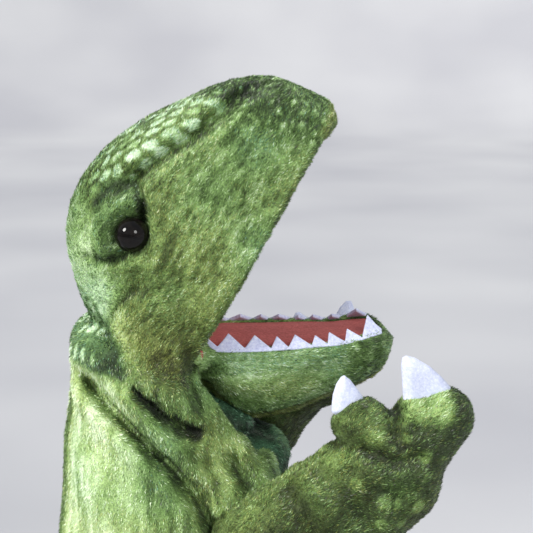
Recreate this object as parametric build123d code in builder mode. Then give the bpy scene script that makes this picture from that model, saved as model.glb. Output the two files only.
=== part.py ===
from build123d import *

import os
from math import asin, cos, radians, sin

# Plush dinosaur hand puppet with a wide open mouth.
# +X points forward, +Y to its left, +Z up. It stands on its feet and the tip of its tail, and
# the origin is under the middle of its box, on the ground. Lengths are in millimetres.

# ---- driving dimensions -------------------------------------------------------------------
PIVOT_X = 60.0  # mouth corner, the axis both jaws turn on
PIVOT_Z = 215.0
GAPE = 58.0  # the upper mouth plate's rise above level, in degrees
PLUSH = 3.0  # plush cloth and its pile
FELT = 1.6
BOARD = 1.5
LINING = 1.5
SLACK = 0.2  # between layers of one body
PALATE_DEPTH = 6.2  # the palate lies this far inside the lip
FOLD_R = 4.0  # rolled felt at the mouth corner
CHEEK_R = 34.5
CHEEK_INNER_Y = 32.0
CHEEK_THICK = 6.0
GROOVE_R = 36.5  # room in the neck for the backs of both jaws
CHEST_TOP_Z = 172.0
EYE_R = 7.5
EYE_U = 32.0
EYE_V = 50.5
EYE_Y = 31.8
TEETH = 9
ARM_Y = 54.0
SHOULDER = (88.0, 133.0)
SHOULDER_R = 19.0
LEG_Y = 50.0
TAIL_ROOT = (-14.0, 0.0, 66.0)
TAIL_TIP = (-172.0, 0.0, 9.6)
TAIL_ROOT_R = 28.0
TAIL_TIP_R = 9.0

# Head sections along the mouth plate: distance from the mouth corner, half width, height.
HEAD = [
    (-15, 34, 41),
    (0, 38, 60),
    (20, 41, 75.5),
    (40, 40, 79.5),
    (60, 35.5, 76),
    (80, 30.5, 67),
    (98, 26.5, 54),
    (112, 22, 41),
    (121, 16, 29),
]
# Lower jaw sections: distance from the mouth corner, half width, depth.
JAW = [
    (6, 27, 24),
    (14, 29.5, 33),
    (24, 30.5, 37),
    (36, 30.5, 37.5),
    (50, 28.5, 34),
    (66, 25, 27.5),
    (80, 21.5, 23),
    (90, 15.5, 17.5),
    (95, 9, 9.5),
]
# Torso sections: height, middle, half depth, half width.
TORSO = [
    (36, 52, 37, 38),
    (52, 50, 47, 46),
    (80, 51, 52, 50),
    (110, 54, 52, 50),
    (140, 56, 50, 48),
    (165, 55, 48, 46),
    (190, 49, 42, 43),
    (213, 41, 34, 40),
]
# Glove sections: height, middle, half depth, half width.
GLOVE = [
    (36, 53, 30, 32.5),
    (90, 54, 31, 34),
    (135, 54, 31, 34),
    (168, 52, 30, 33),
]

os.makedirs("parts", exist_ok=True)

# ---- frames the pieces are drawn in -------------------------------------------------------
PIVOT = Vector(PIVOT_X, 0, PIVOT_Z)
ALONG = Vector(cos(radians(GAPE)), 0, sin(radians(GAPE)))
RISE = Vector(-sin(radians(GAPE)), 0, cos(radians(GAPE)))
LEFT = Vector(0, 1, 0)
mouth_plane = Plane(origin=PIVOT, x_dir=ALONG, z_dir=RISE)
side_plane = Plane(origin=PIVOT, x_dir=ALONG, z_dir=-LEFT)


def head_point(along, rise, y):
    """A point given along the upper mouth plate, square to it, and sideways."""
    return PIVOT + ALONG * along + RISE * rise + LEFT * y


def head_section(distance):
    return Plane(origin=PIVOT + ALONG * distance, x_dir=LEFT, z_dir=ALONG)


def jaw_section(distance):
    return Plane(origin=PIVOT + Vector(distance, 0, 0), x_dir=-LEFT, z_dir=(1, 0, 0))


def width_at(stations, distance):
    """Half width of the head or the jaw at a distance from the mouth corner."""
    for (a, wide_a, _), (b, wide_b, _) in zip(stations, stations[1:]):
        if distance <= b:
            return wide_a + (wide_b - wide_a) * (distance - a) / (b - a)
    return stations[-1][1]


# ---- shapes that several pieces share -----------------------------------------------------
def dome(section_plane, stations, inset=0.0, start=None, stop=None, mode=Mode.ADD):
    """Loft of half ellipses that stand on the mouth line."""
    faces = []
    last = len(stations) - 1
    for index, (distance, half_width, height) in enumerate(stations):
        if index == 0 and start is not None:
            distance = start
        if index == last:
            distance = distance - inset if stop is None else stop
        with BuildSketch(section_plane(distance)) as section:
            Ellipse(half_width - inset, height - inset)
            with Locations((0, -height)):
                Rectangle(3 * half_width, 2 * height, mode=Mode.SUBTRACT)
        faces.append(section.sketch.faces()[0])
    loft(sections=faces, mode=mode)


def oval_tube(section_plane, stations, grow=0.0, mode=Mode.ADD):
    """Loft of ellipses: distance, centre, half width, half height."""
    faces = []
    for distance, centre, half_width, half_height in stations:
        with BuildSketch(section_plane(distance)) as section:
            with Locations((0, centre)):
                Ellipse(half_width + grow, half_height + grow)
        faces.append(section.sketch.faces()[0])
    loft(sections=faces, mode=mode)


def trunk(stations, grow=0.0, overrun=0.0, mode=Mode.ADD):
    """Loft of level ellipses up the body, longer by the overrun at both ends."""
    faces = []
    last = len(stations) - 1
    for index, (height, middle, half_depth, half_width) in enumerate(stations):
        if index == 0:
            height = height - overrun
        if index == last:
            height = height + overrun
        with BuildSketch(Plane.XY.offset(height)) as section:
            with Locations((middle, 0)):
                Ellipse(half_depth + grow, half_width + grow)
        faces.append(section.sketch.faces()[0])
    loft(sections=faces, mode=mode)


def limb(start, end, start_r, end_r, mode=Mode.ADD):
    """Two balls joined by the cone that touches both."""
    start = Vector(*start)
    end = Vector(*end)
    length = (end - start).length
    axis = (end - start).normalized()
    across = LEFT if abs(axis.dot(LEFT)) < 0.9 else Vector(0, 0, 1)
    lean = asin((start_r - end_r) / length)
    half_lean = (radians(90) + lean) / 2
    near = (start_r * sin(lean), start_r * cos(lean))
    far = (length + end_r * sin(lean), end_r * cos(lean))
    near_mid = (-start_r * cos(half_lean), start_r * sin(half_lean))
    far_turn = (radians(90) - lean) / 2
    far_mid = (length + end_r * cos(far_turn), end_r * sin(far_turn))
    with BuildSketch(Plane(origin=start, x_dir=axis, z_dir=across.cross(axis))) as profile:
        with BuildLine():
            ThreePointArc((-start_r, 0), near_mid, near)
            Line(near, far)
            ThreePointArc(far, far_mid, (length + end_r, 0))
            Line((length + end_r, 0), (-start_r, 0))
        make_face()
    revolve(profiles=profile.sketch.faces()[0], axis=Axis(start, axis), mode=mode)


def mouth_liner(stations, start, stop, margin):
    """Plan of a flat mouth piece, narrower than its jaw by the margin."""
    steps = 6
    rim = []
    for step in range(steps + 1):
        distance = start + (stop - start) * step / steps
        rim.append((distance, width_at(stations, distance) - margin))
    with BuildLine() as outline:
        Spline(*rim)
        Line(rim[-1], (rim[-1][0], -rim[-1][1]))
        Spline(*[(distance, -wide) for distance, wide in rim])
        Line((rim[0][0], -rim[0][1]), rim[0])
    make_face(outline.edges())


def both_sides():
    return ((1, "left"), (-1, "right"))


def arm_form(side, inset=0.0):
    """Broad bent arm, palm and two short fingers; the inset makes the stuffing."""
    y = side * ARM_Y
    if side > 0:  # the left arm is held higher, with its hand close to the jaw
        bones = [
            (*SHOULDER, 106, 160, SHOULDER_R, 18),
            (106.5, 160.5, 124, 178, 17.6, 17),
            (122.5, 180, 136, 184, 16.4, 16.8),
            (126, 186, 127.5, 193, 12.2, 11.2),
            (141, 186, 145.5, 193.5, 13.2, 12.4),
        ]
    else:
        bones = [
            (*SHOULDER, 132, 165, SHOULDER_R, 16.9),
            (105, 119, 150, 160, 17.6, 17.2),
            (131, 166, 153, 171, 16.7, 17),
            (141, 177, 132.5, 187, 13, 11.4),
            (159, 178, 168, 188.5, 14.4, 13.1),
        ]
    for x1, z1, x2, z2, r1, r2 in bones:
        limb((x1, y, z1), (x2, y, z2), r1 - inset, r2 - inset)


def claw_forms(side):
    """Two curved-back claws of a hand."""
    y = side * ARM_Y
    if side > 0:
        limb((125.5, y, 197), (120.5, y, 210), 7, 1.2)
        limb((147.5, y, 200), (147, y, 215), 8.2, 1.4)
    else:
        limb((127, y, 192), (124, y, 207), 7, 1.2)
        limb((162.5, y, 198), (152, y, 215), 8.4, 1.4)


def leg_form(side, inset=0.0):
    """Haunch, shin and flat-soled foot; the inset makes the stuffing."""
    y = side * LEG_Y
    limb((46, side * (LEG_Y - 6), 84), (50, side * (LEG_Y - 3), 56), 28 - inset, 23 - inset)
    limb((50, y, 50), (58, y, 19), 18 - inset, 15 - inset)
    limb((56, y, 13), (96, y, 10), 16 - inset, 13.5 - inset)
    with BuildSketch(Plane.XY.offset(inset - 20)) as ground:
        with Locations((60, y)):
            Rectangle(140, 70)
    extrude(ground.sketch, amount=20, mode=Mode.SUBTRACT)


def tail_form(inset=0.0, mode=Mode.ADD):
    limb(TAIL_ROOT, TAIL_TIP, TAIL_ROOT_R - inset, TAIL_TIP_R - inset, mode=mode)


def jaw_and_limb_room():
    """Cut from the torso: room for both jaws, the shoulders and the root of the tail."""
    with BuildSketch(Plane.XZ.offset(-70)) as jaws:
        with Locations((PIVOT_X, PIVOT_Z)):
            Circle(GROOVE_R)
        with Locations((PIVOT_X + 40, CHEST_TOP_Z + 40)):
            Rectangle(80, 80)
    extrude(jaws.sketch, amount=140, mode=Mode.SUBTRACT)
    for side, _ in both_sides():
        with BuildSketch(Plane.XZ.offset(-side * 34.5)) as armhole:
            with Locations(SHOULDER):
                Circle(SHOULDER_R + 1.5)
        extrude(armhole.sketch, amount=-side * 40, mode=Mode.SUBTRACT)
    with Locations(TAIL_ROOT):
        Sphere(TAIL_ROOT_R + 0.8, mode=Mode.SUBTRACT)


def torso_room():
    """Cut from a leg: the torso and the tape under it."""
    trunk(TORSO, grow=SLACK, mode=Mode.SUBTRACT)
    with BuildSketch(Plane.XY.offset(32.4)) as tape_room:
        with Locations((52, 0)):
            Ellipse(37 + SLACK, 38 + SLACK)
    extrude(tape_room.sketch, amount=4, mode=Mode.SUBTRACT)


# ---- torso --------------------------------------------------------------------------------
# The plush sleeve, open below for the hand and above towards both jaws.
with BuildPart() as body_shell:
    trunk(TORSO)
    trunk(TORSO, grow=-PLUSH, overrun=0.5, mode=Mode.SUBTRACT)
    jaw_and_limb_room()

# Batting between the plush and the glove.
with BuildPart() as body_stuffing:
    trunk(TORSO, grow=-PLUSH - SLACK)
    with BuildSketch(Plane.XY.offset(37)):
        with Locations((55, 0)):
            Rectangle(130, 120)
    extrude(amount=128, mode=Mode.INTERSECT)
    trunk(GLOVE, grow=LINING + SLACK, overrun=4.0, mode=Mode.SUBTRACT)
    jaw_and_limb_room()

with BuildPart() as hand_lining:
    trunk(GLOVE, grow=LINING)
    trunk(GLOVE, overrun=0.5, mode=Mode.SUBTRACT)

# Tape round the opening in the underside, which joins the sleeve to the glove.
with BuildPart() as opening_binding:
    with BuildSketch(Plane.XY.offset(36 - SLACK)) as tape:
        with Locations((52, 0)):
            Ellipse(37, 38)
        with Locations((53, 0)):
            Ellipse(29, 31.5, mode=Mode.SUBTRACT)
    extrude(amount=-3)
    fillet(opening_binding.edges().group_by(Axis.Z)[0], radius=1.2)

with BuildPart() as throat_patch:
    trunk(TORSO, grow=1.4)
    trunk(TORSO, grow=SLACK, overrun=0.5, mode=Mode.SUBTRACT)
    with BuildSketch(Plane.YZ.offset(84)) as patch:
        with Locations((0, 159)):
            RectangleRounded(46, 24, 6)
    extrude(amount=40, mode=Mode.INTERSECT)

with BuildPart() as back_strip:
    trunk(TORSO, grow=1.6)
    trunk(TORSO, grow=SLACK, overrun=0.5, mode=Mode.SUBTRACT)
    with BuildSketch(Plane.YZ.offset(30)) as strip:
        with Locations((0, 155)):
            RectangleRounded(9, 104, 3)
    extrude(amount=-40, mode=Mode.INTERSECT)

# ---- legs ---------------------------------------------------------------------------------
leg_shells = {}
leg_stuffings = {}
foot_claws = {}
for side, name in both_sides():
    with BuildPart() as leg_shell:
        leg_form(side)
        torso_room()
    with BuildPart() as leg_core:
        leg_form(side, inset=PLUSH)
    with BuildPart() as leg_skin:
        add(leg_shell.part)
        add(leg_core.part, mode=Mode.SUBTRACT)
    leg_shells[name] = leg_skin
    with BuildPart() as leg_stuffing:
        leg_form(side, inset=PLUSH + SLACK)
        torso_room()
    leg_stuffings[name] = leg_stuffing
    with BuildPart() as claws:
        for spread, reach in ((-9, 0), (0, 6), (9, 0)):
            y = side * LEG_Y + spread
            limb((98 + reach, y, 7.5), (119 + reach, y + spread * 0.3, 4), 5, 1.2)
        add(leg_shell.part, mode=Mode.SUBTRACT)
    foot_claws[name] = claws

# ---- head ---------------------------------------------------------------------------------
# Plush dome with an open mouth side and a cheek flap over each mouth corner.
with BuildPart() as head_shell:
    dome(head_section, HEAD)
    for side, _ in both_sides():
        inner_y = side * CHEEK_INNER_Y
        with BuildSketch(side_plane.offset(-inner_y)) as cheek:
            Circle(CHEEK_R)
            with BuildLine():
                Polyline((0, 0), (-71, -36), (-71, -90), (90, -90), (90, 0), close=True)
            make_face(mode=Mode.SUBTRACT)
        extrude(cheek.sketch, amount=-side * CHEEK_THICK)
    dome(head_section, HEAD, inset=PLUSH, start=-16, mode=Mode.SUBTRACT)
    for side, _ in both_sides():
        with Locations(head_point(EYE_U, EYE_V, side * EYE_Y)):
            Sphere(EYE_R + SLACK, mode=Mode.SUBTRACT)

FINGERS = [(-8, 22.5, 26, 11), (40, 24, 25, 12), (88, 21, 15, 9)]

with BuildPart() as head_stuffing:
    dome(head_section, HEAD, inset=PLUSH + SLACK, start=-16)
    with BuildSketch(head_section(-7)) as neck_side:
        Rectangle(200, 200)
    extrude(amount=-20, mode=Mode.SUBTRACT)
    with BuildSketch(mouth_plane) as mouth_side:
        Rectangle(400, 200)
    extrude(amount=PALATE_DEPTH + FELT + BOARD + 2 * SLACK, mode=Mode.SUBTRACT)
    oval_tube(head_section, FINGERS, grow=LINING + SLACK, mode=Mode.SUBTRACT)
    for side, _ in both_sides():
        with Locations(head_point(EYE_U, EYE_V, side * EYE_Y)):
            Sphere(EYE_R + SLACK, mode=Mode.SUBTRACT)
        with BuildSketch(side_plane.offset(-side * 17.8)) as washer_room:
            with Locations((EYE_U, EYE_V)):
                Circle(6.4)
        extrude(washer_room.sketch, amount=-side * 2.4, mode=Mode.SUBTRACT)
        with BuildSketch(side_plane.offset(-side * 14.5)) as shank_room:
            with Locations((EYE_U, EYE_V)):
                Circle(2.2)
        extrude(shank_room.sketch, amount=-side * 14, mode=Mode.SUBTRACT)

with BuildPart() as finger_pocket:
    oval_tube(head_section, FINGERS, grow=LINING)
    oval_tube(head_section, FINGERS, mode=Mode.SUBTRACT)

with BuildPart() as palate_felt:
    with BuildSketch(mouth_plane.offset(PALATE_DEPTH)):
        mouth_liner(HEAD, 8, 111, PLUSH + 1.6)
    extrude(amount=FELT)

with BuildPart() as upper_mouth_board:
    with BuildSketch(mouth_plane.offset(PALATE_DEPTH + FELT + SLACK / 2)):
        mouth_liner(HEAD, 9, 110, PLUSH + 2.2)
    extrude(amount=BOARD)

# Rolled felt that joins the palate to the tongue, round on the mouth axis.
with BuildPart() as mouth_fold:
    with BuildSketch(side_plane.offset(-CHEEK_INNER_Y + 0.1)):
        Circle(FOLD_R)
    extrude(amount=2 * CHEEK_INNER_Y - 0.2)

# Safety eyes: a ball on a shank, held by a washer inside the cloth.
eyes = {}
for side, name in both_sides():
    with BuildPart() as eye:
        with Locations(head_point(EYE_U, EYE_V, side * EYE_Y)):
            Sphere(EYE_R)
        with BuildSketch(side_plane.offset(-side * 15)) as shank:
            with Locations((EYE_U, EYE_V)):
                Circle(2)
        extrude(shank.sketch, amount=-side * 14)
    eyes[name] = eye

with BuildPart() as eye_washers:
    for side, _ in both_sides():
        with BuildSketch(side_plane.offset(-side * 18)) as washer:
            with Locations((EYE_U, EYE_V)):
                Circle(6.2)
                Circle(2.1, mode=Mode.SUBTRACT)
        extrude(washer.sketch, amount=-side * 2)

# Padded upper eyelids and the brow ridges in front of them.
eyelids = {}
brows = {}
for side, name in both_sides():
    with BuildPart() as eyelid:
        with BuildSketch(side_plane.offset(-side * 16)) as lid:
            with Locations((35, 61.5)):
                Ellipse(15, 8.5)
            with Locations((EYE_U, EYE_V)):
                Circle(EYE_R + 1.2, mode=Mode.SUBTRACT)
        extrude(lid.sketch, amount=-side * 13)
        dome(head_section, HEAD, inset=-SLACK, mode=Mode.SUBTRACT)
    eyelids[name] = eyelid
    with BuildPart() as brow:
        ridge = [(54, 54, 28), (73, 49, 24), (92, 41, 20), (106, 34, 16.5)]
        points = [head_point(along, rise, side * y) for along, rise, y in ridge]
        for index in range(len(points) - 1):
            limb(points[index], points[index + 1], 5 - 0.6 * index, 4.2 - 0.6 * index)
        dome(head_section, HEAD, inset=-SLACK, mode=Mode.SUBTRACT)
    brows[name] = brow

# Olive roll under the front of the upper lip.
with BuildPart() as upper_lip:
    limb(head_point(116, -4.3, -10), head_point(116, -4.3, 10), 4, 3.9)

# ---- lower jaw ----------------------------------------------------------------------------
THUMB = [(12, 15.5, 13, 9), (34, 17, 15, 10.5), (64, 13, 10, 7.5)]

with BuildPart() as jaw_shell:
    dome(jaw_section, JAW)
    dome(jaw_section, JAW, inset=PLUSH, start=5, mode=Mode.SUBTRACT)

with BuildPart() as jaw_stuffing:
    dome(jaw_section, JAW, inset=PLUSH + SLACK, start=5)
    with BuildSketch(jaw_section(11)) as throat_side:
        Rectangle(100, 100)
    extrude(amount=-10, mode=Mode.SUBTRACT)
    with BuildSketch(Plane.XY.offset(PIVOT_Z)) as gum:
        with Locations((PIVOT_X, 0)):
            Rectangle(300, 100)
    extrude(amount=-(FELT + BOARD + 2 * SLACK), mode=Mode.SUBTRACT)
    oval_tube(jaw_section, THUMB, grow=LINING + SLACK, mode=Mode.SUBTRACT)

with BuildPart() as thumb_pocket:
    oval_tube(jaw_section, THUMB, grow=LINING)
    oval_tube(jaw_section, THUMB, mode=Mode.SUBTRACT)

with BuildPart() as tongue_felt:
    with BuildSketch(Plane(origin=PIVOT - Vector(0, 0, FELT))):
        mouth_liner(JAW, 7, 87, PLUSH + 1.2)
    extrude(amount=FELT)

with BuildPart() as lower_mouth_board:
    with BuildSketch(Plane(origin=PIVOT - Vector(0, 0, FELT + BOARD + SLACK / 2))):
        mouth_liner(JAW, 8, 86, PLUSH + 2)
    extrude(amount=BOARD)

# Felt teeth stand in a row along each edge of the lower jaw; one is a larger fang.
teeth = {}
for side, name in both_sides():
    with BuildPart() as row:
        for index in range(TEETH):
            near = 10 + 8.3 * index
            far = near + 7.3
            tooth_height = 7.5 if index == TEETH - 1 else 4.6 + 0.15 * index
            start = PIVOT + Vector(near, side * (width_at(JAW, near) - 2.2), 0.1)
            end = PIVOT + Vector(far, side * (width_at(JAW, far) - 2.2), 0.1)
            step = end - start
            with BuildSketch(Plane(origin=start, x_dir=step, z_dir=(step.Y, -step.X, 0))) as cut:
                with BuildLine():
                    Polyline((0, 0), (step.length, 0), (step.length * 0.55, tooth_height), close=True)
                make_face()
            extrude(cut.sketch, amount=0.9, both=True)
    teeth[name] = row

# ---- arms ---------------------------------------------------------------------------------
arm_shells = {}
arm_stuffings = {}
hand_claws = {}
for side, name in both_sides():
    with BuildPart() as arm_outer:
        arm_form(side)
    with BuildPart() as arm_core:
        arm_form(side, inset=PLUSH)
    with BuildPart() as arm_skin:
        add(arm_outer.part)
        add(arm_core.part, mode=Mode.SUBTRACT)
    arm_shells[name] = arm_skin
    with BuildPart() as arm_stuffing:
        arm_form(side, inset=PLUSH + SLACK)
    arm_stuffings[name] = arm_stuffing
    with BuildPart() as claws:
        claw_forms(side)
        add(arm_outer.part, mode=Mode.SUBTRACT)
    hand_claws[name] = claws

# ---- tail ---------------------------------------------------------------------------------
with BuildPart() as tail_shell:
    tail_form()
    tail_form(inset=PLUSH, mode=Mode.SUBTRACT)

with BuildPart() as tail_stuffing:
    tail_form(inset=PLUSH + SLACK)

with BuildPart() as tail_strip:
    tail_form(inset=-1.4)
    tail_form(inset=-SLACK, mode=Mode.SUBTRACT)
    tail_axis = Vector(*TAIL_TIP) - Vector(*TAIL_ROOT)
    with BuildSketch(Plane(origin=TAIL_ROOT, x_dir=tail_axis, z_dir=LEFT.cross(tail_axis))) as strip:
        with Locations((86.5, 0)):
            RectangleRounded(127, 8, 3)
    extrude(amount=60, mode=Mode.INTERSECT)

# ---- export -------------------------------------------------------------------------------
nodes = {
    "body_shell": body_shell,
    "body_stuffing": body_stuffing,
    "hand_lining": hand_lining,
    "opening_binding": opening_binding,
    "throat_patch": throat_patch,
    "back_strip": back_strip,
    "head_shell": head_shell,
    "head_stuffing": head_stuffing,
    "finger_pocket": finger_pocket,
    "palate_felt": palate_felt,
    "upper_mouth_board": upper_mouth_board,
    "mouth_fold": mouth_fold,
    "eye_washers": eye_washers,
    "upper_lip": upper_lip,
    "jaw_shell": jaw_shell,
    "jaw_stuffing": jaw_stuffing,
    "thumb_pocket": thumb_pocket,
    "tongue_felt": tongue_felt,
    "lower_mouth_board": lower_mouth_board,
    "tail_shell": tail_shell,
    "tail_stuffing": tail_stuffing,
    "tail_strip": tail_strip,
}
for _, name in both_sides():
    nodes[f"leg_{name}"] = leg_shells[name]
    nodes[f"leg_{name}_stuffing"] = leg_stuffings[name]
    nodes[f"foot_claws_{name}"] = foot_claws[name]
    nodes[f"eye_{name}"] = eyes[name]
    nodes[f"eyelid_{name}"] = eyelids[name]
    nodes[f"brow_{name}"] = brows[name]
    nodes[f"teeth_{name}"] = teeth[name]
    nodes[f"arm_{name}"] = arm_shells[name]
    nodes[f"arm_{name}_stuffing"] = arm_stuffings[name]
    nodes[f"hand_claws_{name}"] = hand_claws[name]

for node, piece in nodes.items():
    piece.part.label = node
    export_step(piece.part, f"parts/{node}.step")
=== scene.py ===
import math
from functools import partial

import bpy
import numpy as np
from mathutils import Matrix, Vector


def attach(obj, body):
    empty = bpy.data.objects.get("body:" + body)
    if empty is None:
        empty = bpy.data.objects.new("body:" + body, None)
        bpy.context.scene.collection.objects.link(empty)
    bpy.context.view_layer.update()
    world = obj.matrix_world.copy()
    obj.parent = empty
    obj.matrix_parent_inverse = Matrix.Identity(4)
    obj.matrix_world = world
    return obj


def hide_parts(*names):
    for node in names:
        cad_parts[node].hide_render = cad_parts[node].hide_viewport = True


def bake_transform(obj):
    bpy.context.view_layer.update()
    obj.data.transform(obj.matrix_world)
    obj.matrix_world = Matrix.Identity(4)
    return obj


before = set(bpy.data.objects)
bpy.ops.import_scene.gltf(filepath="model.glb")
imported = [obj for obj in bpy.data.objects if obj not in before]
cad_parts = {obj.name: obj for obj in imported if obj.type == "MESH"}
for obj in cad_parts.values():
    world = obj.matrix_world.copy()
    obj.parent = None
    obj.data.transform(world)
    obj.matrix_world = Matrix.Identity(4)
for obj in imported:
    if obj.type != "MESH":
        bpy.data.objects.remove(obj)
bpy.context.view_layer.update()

# Shapes are worked out in millimetres in the row frame, and become metres when a mesh is made.
MM = 0.001
PIVOT = np.array([60.0, 0.0, 215.0])  # mouth corner, where both jaws turn
GAPE = math.radians(58.0)
COS_G, SIN_G = math.cos(GAPE), math.sin(GAPE)
SIDES = ((1, "left"), (-1, "right"))


# Distance fields
def profile(knots, soften=6.0):
    """Smooth tables of each column of knots against the first one."""
    knots = np.array(knots, float)
    xs = np.arange(knots[0, 0], knots[-1, 0] + 0.5, 0.5)
    reach = int(3 * soften / 0.5)
    kernel = np.exp(-0.5 * (np.arange(-reach, reach + 1) * 0.5 / soften) ** 2)
    kernel /= kernel.sum()
    columns = []
    for column in knots.T[1:]:
        ys = np.interp(xs, knots[:, 0], column)
        first = 2 * ys[0] - ys[1:reach + 1][::-1]
        last = 2 * ys[-1] - ys[-reach - 1:-1][::-1]
        columns.append(np.convolve(np.concatenate([first, ys, last]), kernel, "valid"))
    return xs, columns


def smooth_min(a, b, k):
    h = np.clip(0.5 + 0.5 * (b - a) / k, 0, 1)
    return b + (a - b) * h - k * h * (1 - h)


def smooth_max(a, b, k):
    return -smooth_min(-a, -b, k)


def ramp(x, low, high):
    t = np.clip((x - low) / (high - low), 0, 1)
    return t * t * (3 - 2 * t)


def ball(p, centre, radii):
    q = (p - np.array(centre, float)) / np.array(radii, float)
    return (np.sqrt((q * q).sum(1)) - 1) * min(radii)


def capsule(p, a, b, ra, rb):
    a, b = np.array(a, float), np.array(b, float)
    line = b - a
    t = np.clip((p - a) @ line / (line @ line), 0, 1)
    return np.linalg.norm(p - a - t[:, None] * line, axis=1) - (ra + (rb - ra) * t)


def line_distance(x, z, points):
    """Distance to a polyline in a plane, and the way along it from 0 to 1."""
    points = np.array(points, float)
    lengths = np.linalg.norm(np.diff(points, axis=0), axis=1)
    total = lengths.sum()
    best = np.full(len(x), 1e9)
    along = np.zeros(len(x))
    done = 0.0
    for (ax, az), (bx, bz), length in zip(points, points[1:], lengths):
        dx, dz = (bx - ax) / length, (bz - az) / length
        t = np.clip((x - ax) * dx + (z - az) * dz, 0, length)
        d = np.hypot(x - ax - t * dx, z - az - t * dz)
        near = d < best
        best = np.where(near, d, best)
        along = np.where(near, (done + t) / total, along)
        done += length
    return best, along


def polygon_distance(x, z, points):
    """Signed distance to a closed outline, less than 0 inside."""
    points = np.array(points, float)
    best = np.full(len(x), 1e9)
    inside = np.zeros(len(x), bool)
    for (ax, az), (bx, bz) in zip(points, np.roll(points, -1, 0)):
        ex, ez = bx - ax, bz - az
        t = np.clip(((x - ax) * ex + (z - az) * ez) / (ex * ex + ez * ez), 0, 1)
        best = np.minimum(best, np.hypot(x - ax - t * ex, z - az - t * ez))
        crosses = (az > z) != (bz > z)
        edge = ax + (z - az) * ex / np.where(ez == 0, 1e-9, ez)
        inside ^= crosses & (x < edge)
    return np.where(inside, -best, best)


def fold(x, z, points, depth, width, lip=0.35, fade=0.12):
    """A crease along a line with a raised lip on each side: what it adds to a distance."""
    d, along = line_distance(x, z, points)
    ends = ramp(along, 0.0, fade) * (1 - ramp(along, 1 - fade, 1.0))
    crease = depth * np.exp(-(d / width) ** 2)
    raised = lip * depth * np.exp(-((d - 2.0 * width) / width) ** 2)
    return (crease - raised) * ends


def from_pivot(p):
    """Distance ahead of the mouth corner and above it."""
    return p[:, 0] - PIVOT[0], p[:, 2] - PIVOT[2]


def head_axes(p):
    """Along the upper mouth plate, and square to it."""
    x, z = from_pivot(p)
    return x * COS_G + z * SIN_G, -x * SIN_G + z * COS_G


def from_head(u, v, y):
    return np.array([PIVOT[0] + u * COS_G - v * SIN_G, y, PIVOT[2] + u * SIN_G + v * COS_G])


TORSO = profile([
    (20, 52, 22, 24), (34, 52, 36, 38), (44, 51, 43, 44), (60, 50, 49, 48), (80, 51, 52, 50),
    (110, 53.5, 52.5, 50), (140, 54.5, 52, 48.5),
    (165, 53.5, 49.5, 46.5), (190, 49, 43, 43), (213, 42, 36, 41),
    (240, 40, 30, 36),
], 5.0)
HEAD = profile([
    (-22, 30, 33), (-15, 34, 41), (-7, 36, 52), (0, 38, 60), (8, 39.5, 68), (16, 40.7, 73.5),
    (27, 41, 78), (40, 40, 79.5), (55, 36.5, 77.5), (68, 33.5, 73), (80, 31, 67), (98, 27.5, 54.5),
    (110, 25, 45), (117, 22, 38.5), (122, 18, 31.5), (125, 13, 22.5), (126.6, 8, 12), (127.6, 2, 2),
], 1.9)
JAW = profile([
    (-6, 20, 12), (6, 27, 20), (14, 29.5, 30), (24, 30.5, 37), (36, 30.5, 38), (50, 28.5, 35),
    (66, 25.5, 28.5), (80, 22, 24), (88, 18, 20.5), (92.5, 13.5, 15), (95.5, 7.5, 9), (97, 2, 3),
], 1.6)
# The seam between the face panel and the forehead and eye panels, as a line over the side.
BROW_U = [-20, 0, 6, 12, 22, 31, 40, 46, 52.5, 61, 70, 82, 95, 103, 110.5, 120, 130]
BROW_V = [66, 62, 59, 55.4, 49, 45.2, 48, 52.5, 59.0, 56.6, 52.6, 46.3, 41, 38.8, 34.7, 29.4, 24]
EYE_U, EYE_V = 32.3, 51.4
TAIL_ROOT = np.array([-12.0, 0.0, 66.0])
TAIL_TIP = np.array([-172.0, 0.0, 9.6])

FOLDS_RIGHT = [
    ([(-52, -4), (-43.4, -16.4), (-38, -22.6), (-26.2, -34), (-11.9, -48.6), (-0.3, -63.1), (8, -80),
      (24, -98), (48, -118)], 8.6, 4.0),
    ([(-27, -8), (-24, -13), (-16.7, -22), (-7.3, -30), (4, -35)], 7.0, 3.2),
    ([(-22, -42), (-11.8, -46), (2.7, -57.8), (13.8, -71.7), (26, -92)], 2.6, 3.0),
    ([(-46, -34), (-38, -56), (-30, -84), (-24, -116)], 2.2, 5.0),
    ([(12, -42), (20, -54), (27, -68), (40, -84)], 3.6, 3.4),
    ([(-30, -110), (-4, -122), (30, -128)], 2.8, 5.0),
]
FOLDS_LEFT = [
    ([(-50, -14), (-32, -34), (-12, -58), (10, -82), (34, -104)], 6.5, 4.6),
    ([(-44, -44), (-34, -70), (-26, -104)], 2.8, 5.0),
    ([(0, -38), (8, -56), (14, -78)], 3.0, 3.8),
    ([(-26, -112), (4, -126), (30, -124)], 2.4, 5.0),
]


def trunk_field(p):
    z = p[:, 2]
    xs, (middle, deep, wide) = TORSO
    cx, rx, ry = np.interp(z, xs, middle), np.interp(z, xs, deep), np.interp(z, xs, wide)
    q = np.sqrt(((p[:, 0] - cx) / rx) ** 2 + (p[:, 1] / ry) ** 2)
    d = (q - 1) * np.minimum(rx, ry)
    return smooth_max(smooth_max(d, 33.0 - z, 9.0), z - 214.0, 8.0)


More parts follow.
